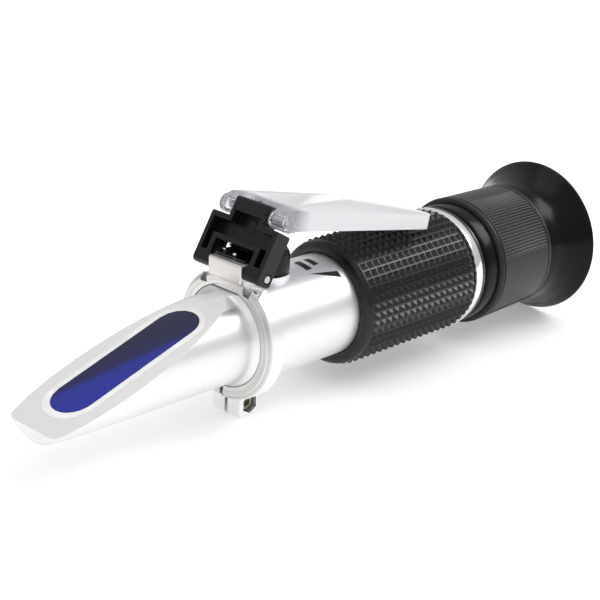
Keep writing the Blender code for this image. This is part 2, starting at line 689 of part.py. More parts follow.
def hinge_frame(pivot):
    """Moulded frame: legs astride the block, an open pocket in front and a tower for the axle on top."""
    half = [
        (0, WINDOW_TOP), (LEG_INNER, WINDOW_TOP), (LEG_INNER, 1.3), (FOOT_INNER, 0.7),
        (FOOT_INNER, FRAME_FOOT - 1), (FRAME_HALF_WIDTH, FRAME_FOOT - 1),
        (FRAME_HALF_WIDTH, FRAME_SHOULDER - 0.3), (FRAME_HALF_WIDTH - 0.3, FRAME_SHOULDER),
        (TOWER_HALF_WIDTH, FRAME_SHOULDER), (TOWER_HALF_WIDTH, TOWER_TOP - 0.3),
        (TOWER_HALF_WIDTH - 0.3, TOWER_TOP), (0, TOWER_TOP),
    ]
    frame = slab("hinge_frame", [mirrored(half)], 12, pivot, UP_THE_FRAME, black_rubber("frame_plastic", 0.02, 0.3))
    rim = -RIM_OFFSET
    foot = math.degrees(math.acos(FRAME_BACK / -FRAME_FOOT))
    side = arc((rim + 1.2, FRAME_FOOT + 1.2), 1.2, 270, 180, 4)
    side += arc((rim + 0.8, TOWER_TOP - 0.8), 0.8, 180, 90, 3)
    side += arc((0, FRAME_REACH), TOWER_BACK_RADIUS, 90, -35, 8)
    side += [(FRAME_BACK, FRAME_SHOULDER)]
    side += arc((0, 0), -FRAME_FOOT, -foot, -90, 5)
    combine(frame, 'INTERSECT', slab("keep_side", [side], 24, pivot, FROM_THE_SIDE))
    floor = rim + POCKET_DEPTH
    pocket = [
        (LEG_POCKET_FOOT, RIB_OUTER), (LEG_POCKET_FOOT, POCKET_SIDE), (POCKET_TOP, POCKET_SIDE),
        (POCKET_TOP, TOWER_POCKET_HALF), (TOWER_POCKET_TOP, TOWER_POCKET_HALF),
    ]
    half = [(0, RIB_TOP), (RIB_OUTER, RIB_TOP)] + [(y, z) for z, y in pocket] + [(0, TOWER_POCKET_TOP)]
    reach = Matrix.Translation((floor - 3, 0, 0))
    hollow = slab("cut_pocket", [mirrored(half)], 6, pivot, reach @ UP_THE_FRAME)
    pin_bore = rod("cut_frame_pin", 'Y', (-12, 12), PIN_RADIUS + GAP, (0, 0), pivot, sides=24)
    axle_bore = rod("cut_axle_bore", 'Y', (-7, 7), AXLE_RADIUS + GAP, (0, FRAME_REACH), pivot, sides=16)
    cut(frame, hollow, pin_bore, axle_bore)
    button = rod("add_mould_button", 'X', (floor - MOULD_BUTTON[1], floor + 0.5), MOULD_BUTTON[0], (0, 9.6),
                 pivot, sides=24)
    nub = rod("add_gate_nub", 'Z', (TOWER_TOP - 0.4, TOWER_TOP + 0.35), 0.5, (-0.6, 0), pivot, sides=12,
              end_radius=0.35)
    return join(frame, button, nub)


def plate_axle(pivot):
    """Steel axle through the tower that carries the plate's knuckles."""
    return rod("plate_axle", 'Y', (-8.6, 8.6), AXLE_RADIUS, (0, FRAME_REACH), pivot,
               satin_aluminium("axle_steel", 0.7, 0.2), sides=16)


def daylight_plate(axle_axis):
    """Clear plate: two knuckles astride the tower and a flat face that spreads the sample on the prism."""
    centre = (PLATE_LENGTH - PLATE_CORNER, PLATE_HALF_WIDTH - PLATE_CORNER)
    plan = [(-4, PLATE_HALF_WIDTH), (-4, -PLATE_HALF_WIDTH)]
    plan += arc((centre[0], -centre[1]), PLATE_CORNER, -90, 0, 5) + arc(centre, PLATE_CORNER, 0, 90, 5)
    plate = slab("daylight_plate", [plan], 12, axle_axis, FLAT, clear_glass("plate_acrylic"))
    side = arc((0, 0), KNUCKLE_RADIUS, 100, 262, 9)
    side += [(3.0, PLATE_BACK_NEAR), (PLATE_LENGTH - 0.6, PLATE_BACK_FAR)]
    side += [(PLATE_LENGTH, PLATE_BACK_FAR + 0.6), (PLATE_LENGTH, PLATE_CONTACT - 0.6)]
    side += [(PLATE_LENGTH - 0.6, PLATE_CONTACT), (1.6, PLATE_CONTACT)]
    combine(plate, 'INTERSECT', slab("keep_plate_side", [side], 24, axle_axis, FROM_THE_SIDE))
    notch_half = TOWER_HALF_WIDTH + GAP
    notch = box("cut_notch", (-4, NOTCH_REACH), (-notch_half, notch_half), (-4, 4), axle_axis)
    bores = [rod(f"cut_plate_bore_{tag}", 'Y', span, AXLE_RADIUS + GAP, (0, 0), axle_axis, sides=16)
             for tag, span in (("near", (-8.95, -4)), ("far", (4, 8.95)))]
    return cut(plate, notch, *bores)


def build():
    """Model the whole instrument."""
    root = empty_at("optical_axis", (DATUM_X, 0, AXIS_HEIGHT))
    prism_housing(root)
    measuring_prism(root)
    prism_cement(root)
    clamp_collar(root)
    clamp_screw(root)
    leaf_parts(root)
    hinge_pin(root)
    main_tube(root)
    temperature_strip(root)
    tube_optics(root)
    rubber_grip(root)
    end_ring(root)
    eyepiece_base(root)
    focus_seal(root)
    guide_key(root)
    calibration_parts(root)
    lens_group(empty_at("carrier_axis", (0, 0, 0), root))
    focus_parts(empty_at("focus_axis", (0, 0, 0), root))
    frame_pivot = empty_at("frame_pivot", (PIN_XZ[0], 0, PIN_XZ[1]), root, tilt=FRAME_LEAN)
    hinge_frame(frame_pivot)
    plate_axle(frame_pivot)
    plate_tilt = PLATE_DROOP - FRAME_LEAN
    daylight_plate(empty_at("plate_pivot", (0, 0, FRAME_REACH), frame_pivot, tilt=plate_tilt))


build()
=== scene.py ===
"""Hand refractometer: the looks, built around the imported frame.

Sizes are in millimetres, and angles in degrees where math.radians or math.atan hasn't made them.
The instrument's own axes are x along the optical axis from the collar's rear face, y across, and
z up from the optical axis. DATUM takes them to the frame's axes. The stage is in metres.
"""
import json
import math

import bmesh
import bpy
from mathutils import Matrix, Vector


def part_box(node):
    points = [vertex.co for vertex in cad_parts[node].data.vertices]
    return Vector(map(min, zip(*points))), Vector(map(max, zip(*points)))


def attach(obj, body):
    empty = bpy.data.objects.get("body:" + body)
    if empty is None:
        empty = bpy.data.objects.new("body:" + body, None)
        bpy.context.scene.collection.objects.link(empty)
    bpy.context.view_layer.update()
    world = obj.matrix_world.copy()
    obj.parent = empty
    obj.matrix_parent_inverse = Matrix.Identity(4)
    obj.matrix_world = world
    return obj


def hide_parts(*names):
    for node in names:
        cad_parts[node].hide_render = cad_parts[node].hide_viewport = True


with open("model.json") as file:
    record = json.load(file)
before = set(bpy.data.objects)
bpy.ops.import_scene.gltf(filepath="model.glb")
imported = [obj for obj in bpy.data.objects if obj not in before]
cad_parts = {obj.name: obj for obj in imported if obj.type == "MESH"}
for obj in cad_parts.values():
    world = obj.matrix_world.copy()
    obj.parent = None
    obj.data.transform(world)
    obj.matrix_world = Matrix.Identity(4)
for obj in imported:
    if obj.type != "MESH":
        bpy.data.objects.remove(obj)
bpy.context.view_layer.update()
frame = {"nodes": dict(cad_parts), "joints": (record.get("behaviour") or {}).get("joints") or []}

MM = 0.001
WELD = 1e-5                      # metres, between points of a finished mesh
SAME_POINT = 1e-5                # millimetres, between points of a bmesh
STEPS = 160                      # round a turned part
NOISE_RANGE = (0.3, 0.7)         # where nearly all of a noise lies
TAU = 2 * math.pi


def middle_of(node):
    """Centre of a CAD node's box, in metres."""
    low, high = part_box(node)
    return (low + high) / 2


def joint_place(name):
    """Where a joint's axis stands, in metres."""
    joint = next(item for item in frame["joints"] if item["name"] == name)
    return Vector(joint["pos_m"])


# The clamp lug's ends: its rear one is the rear of the collar's box
LUG_X = (-2.7, 3.1)
LUG_MIDDLE = 2.9                 # ahead of the rear end

# The optical axis and the collar's rear face, as the frame has them
AXIS = middle_of("rubber_grip")
DATUM = Vector((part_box("clamp_collar")[1].x - LUG_X[1] * MM, AXIS.y, AXIS.z))
HOME = Matrix.Translation(DATUM)

GRIP_X = tuple((corner.x - DATUM.x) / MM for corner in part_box("rubber_grip"))
GRIP_BORE = 12.46
STUD_ROWS = 17
STUD_COUNT = 45                  # round the grip
STUD_START = 29.6                # front of the first row
STUD_FIRST_ANGLE = -56.5         # at the first stud's middle
STUD_TOP = 15.45                 # radius at the crests
STUD_FOOT = 14.65                # radius in the valleys
STUD_BASE = 0.41                 # half the stud's foot, as a share of its pitch
STUD_CREST = 0.06                # half the stud's crest, as the same share
BAND_FRONT = (0.2, 12.7)         # where the smooth band's rounding starts: behind the front, radius
BAND_ROUND = (1.6, 2.3)          # how long and how high the rounding is
BAND_REAR = ((29.2, 14.95), (29.35, STUD_FOOT - 0.1), (29.5, STUD_FOOT))

RIB_X = (77.3, 95.2)
RIB_PITCH = 3                    # the angle from rib to rib
RIB_DEPTH = 0.32
RIB_PATCH = 66                   # the angle that one ribbed patch covers
RIB_PATCH_CENTRES = (-42, 78, 198)
RING_BORE = 13.8
SPIGOT_LENGTH = 4.03             # of the focus ring, inside the eyecup
SPIGOT_RADIUS = 14.2

SLANT = math.atan(0.32664)       # of the prism's face
SLANT_FOOT = (-56.2, -6.23)
WINDOW_X = (-45.7, -18.4)        # middles of the window's round ends
WINDOW_HALF_WIDTH = 5.2
RECESS_WIDTH = 1.5               # round the window
RECESS_TIP = 0.4                 # how much longer the recess is at its front end
BEAD_WIDTH = 1.48
NOSE_SHOULDER = (-4.1, 11.72)
NOSE_TIP = (-55.4, 10.02)

PIN_X = -1.4
PIN_Z = 15.5
FRAME_LEAN = math.radians(30.34)
FRAME_CLOSED = math.radians(140.14)
RIM_OFFSET = 2.85                # of the frame's rim from the pin
FOOT_CLEARANCE = 0.37            # under the closed frame's feet

# Limits in x, y and z of what is added to the collar and cut from it
HINGE_BLOCK = ((-4.7, 2.6), (-5.2, 5.2), (13.2, 17.8))
LUG = (LUG_X, (-4.7, 4.7), (-19.3, -13.2))
COLLAR_SPLIT = ((-6, 4), (-0.5, 0.5), (-21, -11))
SCREW_XZ = (0.2, -16.2)
SCREW_HOLE = 1.3                 # radii from here to the sweep
HEAD_POCKET = 2.3
PIN_HOLE = 1.15
SWEEP_RADIUS = 3.3               # room for the frame's knuckles beside the block

# One side's seat for the closed frame's feet: along the frame from the pin, and out in y
FOOT_SEAT = ((7, 5.22), (7, 12), (-9, 12), (-9, 8.9), (-2, 8.9), (-2, 7.75), (-9, 7.75),
             (-9, 5.75), (-2, 5.75), (-2, 5.22))

# The spring leaf and its lip in side view, and where its rivets stand
LEAF_SIDE = ((-2.9, 18.1), (2.3, 18.1), (2.42, 18.16), (2.7, 18.64), (2.44, 18.79), (2.12, 18.45),
             (-2.9, 18.45))
LIP_SIDE = ((2.42, 18.16), (3.06, 19.26), (2.80, 19.41), (2.16, 18.31))
LEAF_WIDTH = 9.4
LIP_WIDTH = 11.4
RIVET_SPOTS = ((-1.9, -0.5), (-0.9, 3.8))
RIVET_Z = 18

CAP_X = 8.8
CAP_ROUND = ((16.2, 1.4), (3.2, 3.6))    # the cap's rounding: its middle, how long and how high

SIDE_PLANE = Matrix(((1, 0, 0, 0), (0, 0, -1, 0), (0, 1, 0, 0), (0, 0, 0, 1)))

PLATE_DROOP = math.radians(12.0)
PLATE_LENGTH = 49.5
PLATE_HALF_WIDTH = 10.2
PLATE_CORNER = 2.5
PLATE_CONTACT = 2.8              # of its contact face from the axle
KNUCKLE_RADIUS = 2.15
KNUCKLE_GAP = 5.35               # half the gap between the knuckles
AXLE_BORES = ((-8.95, -4), (4, 8.95))

# Closed loops of (station, radius) for the turned parts
TUBE_LOOP = (
    (68.9, 10.4), (68.9, 12.16), (0.35, 12.16), (0.3, 12.1), (0.3, 11.7), (-3.8, 11.7),
    (-3.8, 10.4))
BOSS_LOOP = ((10.9, 0), (10.9, 5.2), (12.4, 5.2), (12.4, 0))
END_RING_LOOP = (
    (69.3, 12.46), (69.3, 14.45), (70.5, 14.45), (70.5, 14.75), (70.3, 14.9), (66.8, 15.35),
    (66.6, 15.35), (66.5, 15.2), (66.5, 12.46))
BASE_LOOP = (
    (62.5, 8.7), (72.0, 8.7), (72.0, 11.2), (87.0, 11.2), (87.0, 12.9), (84.8, 12.9), (84.8, 12.3),
    (83.2, 12.3), (83.2, 12.9), (75.2, 12.9), (75.2, 15.1), (75.1, 15.25), (74.9, 15.3),
    (72.2, 14.95), (71.4, 14.9), (71.2, 14.8), (71.05, 14.45), (70.9, 14.4), (69.8, 14.3),
    (69.6, 14.25), (69.5, 14.1), (69.5, 10.1), (62.5, 10.1))
COLLAR_LOOP = (
    (0, 11.8), (0, 14.8), (-0.2, 15.0), (-3.4, 15.0), (-3.5, 14.9), (-3.6, 14.62), (-4.3, 13.95),
    (-4.4, 13.8), (-4.4, 12.9), (-4.25, 12.8), (-4.25, 11.9), (-4.15, 11.8))

# The printed mark's shapes as (station, angle) corners, and how many steps their sides take
MARK_LIFT = 0.02
MARK_SHAPES = (
    (((17.6, -18), (19.4, -18), (19.4, 2), (17.6, 2)), 10),
    (((20.8, -14), (22.4, -14), (22.4, 2), (20.8, 2)), 8),
    (((17.2, -24), (25.2, -40), (25.2, -31)), 8),
)

CAMERA_LENS = 97.10
CAMERA_PLACE = (-233.97, -240.26, 136.01)    # from DATUM
CAMERA_AXES = (                  # right, up and back
    (0.69921414, -0.71344168, 0.04583174),
    (0.22484853, 0.28031383, 0.93320271),
    (-0.67863298, -0.64220333, 0.35641571),
)


# ---------------------------------------------------------------- building pieces

def add_piece(name, mesh, finish, body, stands_for, matrix=HOME):
    """Link a mesh as a piece that rides on a body and stands for a CAD node."""
    if finish:
        mesh.materials.append(finish)
    piece = bpy.data.objects.new(name, mesh)
    bpy.context.scene.collection.objects.link(piece)
    piece.matrix_world = matrix
    if stands_for:
        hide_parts(stands_for)
    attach(piece, body)
    return piece


def mesh_of(form, name, sharp=35.0):
    """A mesh in metres from a bmesh in millimetres, smooth but for edges sharper than an angle."""
    bmesh.ops.recalc_face_normals(form, faces=form.faces)
    bmesh.ops.scale(form, vec=(MM, MM, MM), verts=form.verts)
    mesh = bpy.data.meshes.new(name)
    form.to_mesh(mesh)
    form.free()
    mesh.shade_smooth()
    mesh.set_sharp_from_angle(angle=math.radians(sharp))
    return mesh


def polar(station, radius, degrees):
    """A point at an angle from the top, towards +y, about the optical axis."""
    angle = math.radians(degrees)
    return Vector((station, radius * math.sin(angle), radius * math.cos(angle)))


def ring_of(form, station, radius, angles):
    """A ring of vertices about the optical axis."""
    return [form.verts.new(polar(station, radius, angle)) for angle in angles]


def bridge(form, first, second):
    """Quads between two rings."""
    count = len(first)
    for index in range(count):
        after = (index + 1) % count
        form.faces.new((first[index], first[after], second[after], second[index]))


def arc(centre, radius, start, end, count):
    """Points on an arc in degrees, both ends included."""
    turn = [math.radians(start + (end - start) * step / count) for step in range(count + 1)]
    return [(centre[0] + radius * math.cos(a), centre[1] + radius * math.sin(a)) for a in turn]


def smooth_line(points, count=6):
    """A Catmull-Rom curve through points."""
    ends = [points[0]] + list(points) + [points[-1]]
    line = []
    for before, start, end, after in zip(ends, ends[1:], ends[2:], ends[3:]):
        for step in range(count):
            t = step / count
            line.append(tuple(
                0.5 * (2 * q + (r - p) * t + (2 * p - 5 * q + 4 * r - s) * t * t
                       + (3 * q - p - 3 * r + s) * t ** 3)
                for p, q, r, s in zip(before, start, end, after)))
    return line + [tuple(points[-1])]


def turned_mesh(name, loop, steps, sharp=35.0):
    """A shape turned about the optical axis from a closed loop of (station, radius) points."""
    form = bmesh.new()
    angles = [360 * step / steps for step in range(steps)]
    rings = [ring_of(form, station, radius, angles) for station, radius in loop]
    for index, ring in enumerate(rings):
        after = (index + 1) % len(rings)
        if loop[index][1] or loop[after][1]:
            bridge(form, ring, rings[after])
    bmesh.ops.remove_doubles(form, verts=form.verts, dist=SAME_POINT)
    bmesh.ops.dissolve_degenerate(form, edges=form.edges, dist=SAME_POINT)
    return mesh_of(form, name, sharp)


def turned_piece(name, loop, steps, finish, body, stands_for, matrix=HOME, sharp=35.0):
    """A turned shape as a piece."""
    mesh = turned_mesh(name, loop, steps, sharp)
    return add_piece(name, mesh, finish, body, stands_for, matrix)


def box_mesh(name, xs, ys, zs, rounding=0.0):
    """A block between limits, with rounded edges if asked."""
    form = bmesh.new()
    limits = (xs, ys, zs)
    size = [pair[1] - pair[0] for pair in limits]
    centre = [(pair[1] + pair[0]) / 2 for pair in limits]
    place = Matrix.Translation(centre) @ Matrix.Diagonal((*size, 1.0))
    bmesh.ops.create_cube(form, size=1.0, matrix=place)
    if rounding:
        bmesh.ops.bevel(form, geom=form.edges[:], offset=rounding, segments=4, profile=0.5,
                        affect='EDGES')
    return mesh_of(form, name)


def rod_mesh(name, ys, radius, x, z, sides=32):
    """A cylinder along y."""
    form = bmesh.new()
    place = Matrix.Translation((x, (ys[0] + ys[1]) / 2, z)) @ Matrix.Rotation(math.pi / 2, 4, 'X')
    bmesh.ops.create_cone(form, cap_ends=True, segments=sides, radius1=radius, radius2=radius,
                          depth=ys[1] - ys[0], matrix=place)
    return mesh_of(form, name)


def slab_mesh(name, outline, thickness, plane):
    """A flat outline thickened about its plane."""
    form = bmesh.new()
    lower = [form.verts.new((x, y, -thickness / 2)) for x, y in outline]
    upper = [form.verts.new((x, y, thickness / 2)) for x, y in outline]
    form.faces.new(list(reversed(lower)))
    form.faces.new(upper)
    bridge(form, lower, upper)
    bmesh.ops.transform(form, matrix=plane, verts=form.verts)
    return mesh_of(form, name)


def tool_of(mesh, matrix=None, material=None):
    """An object for a Boolean; its material lands on the faces that it makes."""
    tool = bpy.data.objects.new(mesh.name, mesh)
    tool.matrix_world = HOME if matrix is None else matrix
    if material:
        mesh.materials.append(material)
    return tool


def applied(piece, tools, operation='DIFFERENCE', bevel=0.0, sharp=35):
    """Apply Booleans, and then a bevel along the sharp edges, to a piece's mesh."""
    scene = bpy.context.scene
    for tool in tools:
        scene.collection.objects.link(tool)
        step = piece.modifiers.new(tool.name, 'BOOLEAN')
        step.operation = operation
        step.object = tool
        step.solver = 'EXACT'
        step.material_mode = 'TRANSFER'
    if bevel:
        weld = piece.modifiers.new("weld", 'WELD')
        weld.merge_threshold = WELD
        round_off = piece.modifiers.new("bevel", 'BEVEL')
        round_off.width = bevel * MM
        round_off.segments = 2
        round_off.limit_method = 'ANGLE'
        round_off.angle_limit = math.radians(40)
    bpy.context.view_layer.update()
    evaluated = piece.evaluated_get(bpy.context.evaluated_depsgraph_get())
    mesh = bpy.data.meshes.new_from_object(evaluated)
    piece.modifiers.clear()
    piece.data = mesh
    mesh.shade_smooth()
    mesh.set_sharp_from_angle(angle=math.radians(sharp))
    for tool in tools:
        bpy.data.objects.remove(tool, do_unlink=True)
    return piece


# ---------------------------------------------------------------- materials

class Finish:
    """A procedural material: one Principled shader with noise in its colour, roughness and bump."""

    def __init__(self, name, roughness, metallic=0.0):
        self.material = bpy.data.materials.new(name)
        self.material.use_nodes = True
        self.tree = self.material.node_tree
        self.shader = self.tree.nodes["Principled BSDF"]
        self.shader.inputs["Metallic"].default_value = metallic
        self.shader.inputs["Roughness"].default_value = roughness
        self.place = self.node("ShaderNodeTexCoord").outputs["Object"]

    def node(self, kind):
        """A new node."""
        return self.tree.nodes.new(kind)

    def link(self, output, target):
        """Join an output to an input."""
        self.tree.links.new(output, target)

    def noise(self, scale, detail=3.0):
        """Noise on the object's own coordinates, at a scale per axis in cycles per metre."""
        mapping = self.node("ShaderNodeMapping")
        mapping.inputs["Scale"].default_value = scale
        self.link(self.place, mapping.inputs["Vector"])
        texture = self.node("ShaderNodeTexNoise")
        texture.inputs["Scale"].default_value = 1.0
        texture.inputs["Detail"].default_value = detail
        self.link(mapping.outputs["Vector"], texture.inputs["Vector"])
        return texture.outputs["Fac"]

    def ramp(self, factor, stops):
        """Take the base colour from a factor, with (position, colour) stops."""
        ramp = self.node("ShaderNodeValToRGB")
        elements = ramp.color_ramp.elements
        while len(elements) < len(stops):
            elements.new(0.5)
        for element, (position, color) in zip(elements, stops):
            element.position = position
            element.color = (*color, 1.0)
        self.link(factor, ramp.inputs["Fac"])
        self.link(ramp.outputs["Color"], self.shader.inputs["Base Color"])

    def coordinate(self, axis):
        """One of the object's own coordinates, in metres."""
        split = self.node("ShaderNodeSeparateXYZ")
        self.link(self.place, split.inputs["Vector"])
        return split.outputs[axis]

    def rescaled(self, factor, source, result=(0.0, 1.0)):
        """A factor carried from one range of values to another."""
        scaler = self.node("ShaderNodeMapRange")
        for name, value in zip(("From Min", "From Max", "To Min", "To Max"), (*source, *result)):
            scaler.inputs[name].default_value = value
        self.link(factor, scaler.inputs["Value"])
        return scaler.outputs["Result"]

    def spread(self, factor, low, high):
        """Drive the roughness between two values from a noise."""
        self.link(self.rescaled(factor, NOISE_RANGE, (low, high)), self.shader.inputs["Roughness"])

    def relief(self, factor, height, edge=0.0):
        """Bump of a height in metres, over edges softened by a radius in millimetres."""
        bump = self.node("ShaderNodeBump")
        bump.inputs["Strength"].default_value = 1.0
        bump.inputs["Distance"].default_value = height
        self.link(factor, bump.inputs["Height"])
        if edge:
            soft = self.node("ShaderNodeBevel")
            soft.samples = 4
            soft.inputs["Radius"].default_value = edge * MM
            self.link(soft.outputs["Normal"], bump.inputs["Normal"])
        self.link(bump.outputs["Normal"], self.shader.inputs["Normal"])

    def mottle(self, color, amount, scale):
        """Colour that wanders a little about its mean."""
        low = tuple(channel * (1 - amount) for channel in color)
        high = tuple(min(1.0, channel * (1 + amount)) for channel in color)
        self.ramp(self.noise(scale), tuple(zip(NOISE_RANGE, (low, high))))


def turned_metal(name, color, roughness):
    """Aluminium or brass with fine turning marks round the optical axis."""
    made = Finish(name, roughness, metallic=1.0)
    made.mottle(color, 0.012, (90, 60, 60))
    marks = made.noise((9000, 40, 40), 2.0)
    made.spread(marks, roughness * 0.94, roughness * 1.08)
    made.relief(made.noise((700, 700, 700)), 6e-8, 0.12)
    return made.material


def milled_metal(name, color, roughness, edge):
    """Metal with a fine even grain, such as a milled or a tumbled face."""
    made = Finish(name, roughness, metallic=1.0)
    made.mottle(color, 0.015, (300, 300, 300))
    grain = made.noise((5000, 5000, 5000), 2.0)
    made.spread(grain, roughness * 0.9, roughness * 1.12)
    made.relief(grain, 4e-7, edge)
    return made.material


def moulded(name, color, roughness, grain_height=4e-6, grain_scale=4500, edge=0.15, shine=0.2):
    """Moulded plastic or rubber with a fine skin texture and faint flow marks."""
    made = Finish(name, roughness)
    made.mottle(color, 0.15, (250, 250, 250))
    grain = made.noise((grain_scale,) * 3)
    made.spread(grain, roughness * 0.88, roughness * 1.15)
    made.relief(grain, grain_height, edge)
    made.shader.inputs["Specular IOR Level"].default_value = shine
    return made.material


def lens_glass():
    """Clear glass with a trace of ripple."""
    made = Finish("lens_glass", 0.01)
    made.mottle((0.97, 0.98, 1.0), 0.01, (120, 120, 120))
    ripple = made.noise((220, 220, 220), 2.0)
    made.spread(ripple, 0.008, 0.013)
    made.relief(ripple, 1e-8)
    made.shader.inputs["Transmission Weight"].default_value = 1.0
    made.shader.inputs["IOR"].default_value = 1.52
    return made.material


def prism_glass():
    """Dark blue glass, drawn opaque: near black over the ground rear facet, with painted light in
    bright blue towards the tip and the -y side.
    """
    made = Finish("prism_glass", 0.05)
    low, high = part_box("measuring_prism")
    lean = made.node("ShaderNodeMath")
    lean.operation = 'MULTIPLY_ADD'
    made.link(made.coordinate("Y"), lean.inputs[0])
    lean.inputs[1].default_value = 3.0
    made.link(made.coordinate("X"), lean.inputs[2])
    painted_light_along = made.rescaled(lean.outputs["Value"], (low.x - 6 * MM, high.x + 8 * MM))
    # Painted light: bright blue towards the tip and the -y side, falling to near black towards the
    # rear
    made.ramp(painted_light_along, (
        (0.0, (0.012, 0.020, 0.33)), (0.35, (0.012, 0.020, 0.27)), (0.46, (0.009, 0.010, 0.085)),
        (0.75, (0.010, 0.011, 0.050)), (1.0, (0.016, 0.017, 0.065)),
    ))
    haze = made.noise((600, 600, 600), 4.0)
    made.spread(haze, 0.03, 0.07)
    made.relief(haze, 2e-7, 0.1)
    made.shader.inputs["IOR"].default_value = 1.33
    return made.material


def paint_nodes(material, *nodes):
    """Give CAD nodes a material in their own slots."""
    for node in nodes:
        mesh = frame["nodes"][node].data
        for index in range(len(mesh.materials)):
            mesh.materials[index] = material


def paint_fixed_metal():
    """Aluminium, steel and brass parts of the CAD frame."""
    paint_nodes(milled_metal("pin_metal", (0.50, 0.50, 0.51), 0.30, 0.2),
                "hinge_pin", "plate_axle", "guide_key")
    paint_nodes(milled_metal("rivet_metal", (0.85, 0.85, 0.86), 0.16, 0.1),
                "spring_rivet_front", "spring_rivet_rear")
    paint_nodes(milled_metal("screw_metal", (0.30, 0.30, 0.24), 0.38, 0.08), "clamp_screw")
    paint_nodes(milled_metal("strip_metal", (0.62, 0.52, 0.40), 0.35, 0.05), "temperature_strip")
    paint_nodes(turned_metal("brass", (0.72, 0.54, 0.26), 0.28),
                "calibration_screw", "reticle_ring", "lens_retainer", "carrier_nut")
    paint_nodes(turned_metal("blackened", (0.05, 0.05, 0.05), 0.5),
                "objective_cell", "light_baffle", "reticle_seat", "lens_carrier", "lens_spacer")


def paint_fixed_rest():
    """Glass, plastic and rubber parts of the CAD frame."""
    paint_nodes(prism_glass(), "measuring_prism")
    paint_nodes(moulded("frame_plastic", (0.006, 0.006, 0.009), 0.32, 4e-6, 6000, 0.22, 0.3),
                "hinge_frame")
    paint_nodes(moulded("seal_rubber", (0.02, 0.02, 0.02), 0.4), "focus_seal")
    paint_nodes(lens_glass(), "objective_lens", "reticle", "field_lens", "eye_lens")


# ---------------------------------------------------------------- pieces

def studded_grip():
    """Rubber grip: a smooth rounded band, then rows of small pyramids."""
    pitch_x = (GRIP_X[1] - STUD_START) / STUD_ROWS
    pitch_a = 360 / STUD_COUNT
    angles = []
    for index in range(STUD_COUNT):
        middle = STUD_FIRST_ANGLE + pitch_a * index
        angles += [middle - STUD_BASE * pitch_a, middle + STUD_BASE * pitch_a]
    stations = []
    for row in range(STUD_ROWS):
        middle = STUD_START + pitch_x * (row + 0.5)
        stations += [middle - STUD_BASE * pitch_x, middle + STUD_BASE * pitch_x]
    form = bmesh.new()
    front = GRIP_X[0]
    band = [(front, GRIP_BORE)]
    band += [(front + BAND_FRONT[0] + BAND_ROUND[0] * (1 - math.cos(a)),
              BAND_FRONT[1] + BAND_ROUND[1] * math.sin(a))
             for a in (TAU * k / 40 for k in range(11))]
    band += BAND_REAR
    rings = [ring_of(form, station, radius, angles) for station, radius in band]
    first_row = len(rings)
    rings += [ring_of(form, station, STUD_FOOT, angles) for station in stations]
    last_row = len(rings) - 1
    rings += [ring_of(form, GRIP_X[1], radius, angles) for radius in (STUD_FOOT, GRIP_BORE)]
    share = STUD_CREST / STUD_BASE
    for index, (ring, after) in enumerate(zip(rings, rings[1:] + rings[:1])):
        row = index - first_row
        if first_row <= index < last_row and row % 2 == 0:
            middle_x = STUD_START + pitch_x * (row / 2 + 0.5)
            stud_row(form, ring, after, middle_x, pitch_x * STUD_BASE * share, angles, share)
        else:
            bridge(form, ring, after)
    mesh = mesh_of(form, "studded_grip", 24)
    rubber = moulded("grip_rubber", (0.003, 0.003, 0.0045), 0.3, 1e-6, 3000, 0.0, 0.42)
    return add_piece("studded_grip", mesh, rubber, "instrument", "rubber_grip")


def stud_row(form, ring, after, middle_x, half_x, angles, share):
    """One row of pyramids round the grip, with the valleys between them."""
    count = len(ring)
    for index in range(count):
        follow = (index + 1) % count
        foot = (ring[index], ring[follow], after[follow], after[index])
        if index % 2:
            form.faces.new(foot)
            continue
        middle = (angles[index] + angles[follow]) / 2
        half = (angles[follow] - angles[index]) / 2 * share
        crest = [form.verts.new(polar(middle_x + side_x * half_x, STUD_TOP, middle + side_a * half))
                 for side_x, side_a in ((-1, -1), (-1, 1), (1, 1), (1, -1))]
        form.faces.new(crest)
        for corner in range(4):
            beside = (corner + 1) % 4
            form.faces.new((foot[corner], foot[beside], crest[beside], crest[corner]))


def rib_drop(degrees):
    """How far the focus ring's surface lies under its ribs at an angle."""
    for centre in RIB_PATCH_CENTRES:
        offset = (degrees - centre + 180) % 360 - 180
        if abs(offset) < RIB_PATCH / 2:
            wave = 0.5 - 0.5 * math.cos(TAU * (offset + RIB_PATCH / 2) / RIB_PITCH)
            return RIB_DEPTH * (1 - wave ** 0.6)
    return 0.0


